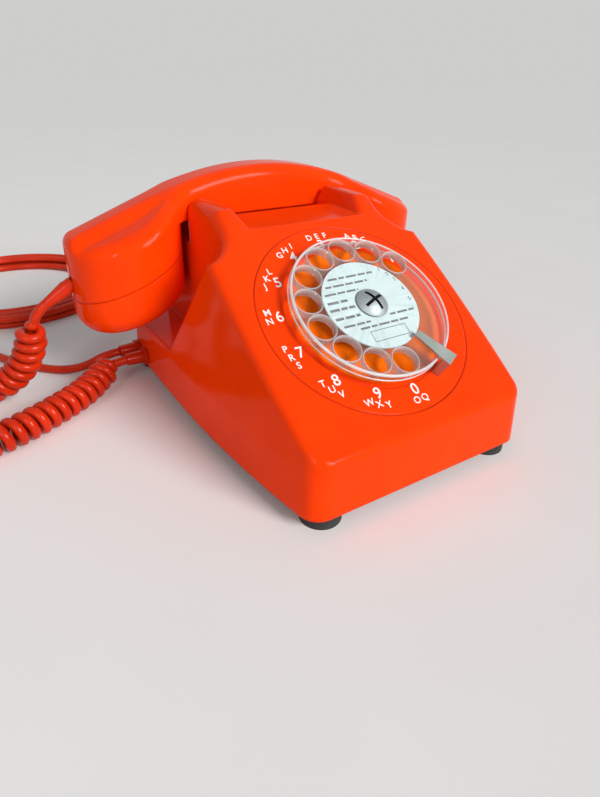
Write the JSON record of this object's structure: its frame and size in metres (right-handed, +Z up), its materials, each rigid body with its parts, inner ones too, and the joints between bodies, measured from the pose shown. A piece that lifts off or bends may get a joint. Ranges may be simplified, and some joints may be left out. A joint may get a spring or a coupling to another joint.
{
  "type": "rotary telephone",
  "caption": "Desk telephone with a sloped housing, a turning finger-wheel dial, a lift-off handset on a cradle, a curly handset cord and a coiled line cord.",
  "frame": {"origin": "on the table under the middle of the telephone, without its cords", "axes": "+X to the user's right along the handset, +Y away from the user, +Z up"},
  "size_m": [0.3188, 0.4858, 0.1203],
  "materials": {
    "housing": "glossy moulded orange",
    "dial_face": "glossy orange with white numbers and letters",
    "clear_plastic": "clear moulded acrylic",
    "card": "white card with ruled lines",
    "satin_metal": "satin",
    "bright_metal": "bright plated",
    "cord": "soft sheath, red-orange",
    "rubber": "matt black",
    "base_metal": "black enamel",
    "steel": "plain",
    "brass": "plain",
    "aluminium": "plain",
    "inner_plastic": "moulded black",
    "winding": "enamelled copper winding",
    "board": "brown laminate"
  },
  "bodies": {
    "base": {"base_plate": "base_metal", "base_screws": "steel", "board_posts": "brass", "capacitors": "aluminium", "circuit_board": "board", "clapper_post": "brass", "contact_springs": "brass", "dial_back_pillars": "brass", "dial_back_plate": "aluminium", "dial_bush": "brass", "dial_frame": "aluminium", "dial_front_pillars": "brass", "finger_stop": "bright_metal", "gong_posts": "steel", "governor_cup": "brass", "handset_cord": "cord", "handset_gland": "cord", "hook_bracket": "steel", "hook_pin": "steel", "left_gong": "brass", "line_coil": "cord", "line_cord": "cord", "line_gland": "cord", "number_ring": "dial_face", "plug": "cord", "plug_pins": "brass", "pulse_contacts": "inner_plastic", "right_gong": "brass", "ringer_coils": "winding", "ringer_frame": "base_metal", "ringer_yoke": "steel", "rubber_feet": "rubber", "shell": "housing", "spring_drum": "aluminium", "terminal_block": "inner_plastic", "transformer": "base_metal"},
    "handset": {"handset_handle": "housing", "mouth_cap": "housing", "ear_cap": "housing", "transmitter_cup": "inner_plastic", "transmitter_capsule": "aluminium", "receiver_clamp": "inner_plastic", "receiver_capsule": "aluminium", "handset_relief": "cord"},
    "plungers": {"hook_plungers": "housing"},
    "rocker": {"hook_lever": "steel"},
    "dial": {"finger_wheel": "clear_plastic", "label_card": "card", "card_cover": "clear_plastic", "centre_cap": "satin_metal", "dial_shaft": "steel", "main_gear": "brass", "return_spring": "steel"},
    "governor": {"governor_spindle": "steel", "governor_pinion": "brass", "governor_hub": "brass", "governor_weights": "brass", "governor_springs": "steel"},
    "bell_clapper": {"clapper": "steel"}
  },
  "joints": [
    {"name": "handset_lift", "type": "slide", "parent": "base", "child": "handset", "axis": [0, 0, 1], "range_m": [0, 0.08], "deforming": ["handset_cord"]},
    {"name": "plunger_rise", "type": "slide", "parent": "base", "child": "plungers", "axis": [0, 0, 1], "range_m": [0, 0.0045]},
    {"name": "rocker_tilt", "type": "hinge", "parent": "base", "child": "rocker", "pos_m": [0, 0.046, 0.0764], "axis": [1, 0, 0], "range_deg": [0, 10]},
    {"name": "dial_turn", "type": "hinge", "parent": "base", "child": "dial", "pos_m": [0, -0.04293, 0.06808], "axis": [0, 0.5352, -0.8447], "range_deg": [0, 316], "stiffness_Nm_per_rad": 0.004, "springref_deg": -34.38},
    {"name": "governor_spin", "type": "hinge", "parent": "base", "child": "governor", "pos_m": [0.0258, -0.04293, 0.06808], "axis": [0, 0.5352, -0.8447], "range_deg": [-1330, 0]},
    {"name": "clapper_swing", "type": "hinge", "parent": "base", "child": "bell_clapper", "pos_m": [0, 0.034, 0.0176], "axis": [0, 0, 1], "range_deg": [-3.5, 3.5]}
  ],
  "couplings": [
    {"joint": "plunger_rise", "follows": "handset_lift", "ratio": 0.055},
    {"joint": "rocker_tilt", "follows": "handset_lift", "rad_per_m": 2.15},
    {"joint": "governor_spin", "follows": "dial_turn", "ratio": -4}
  ]
}
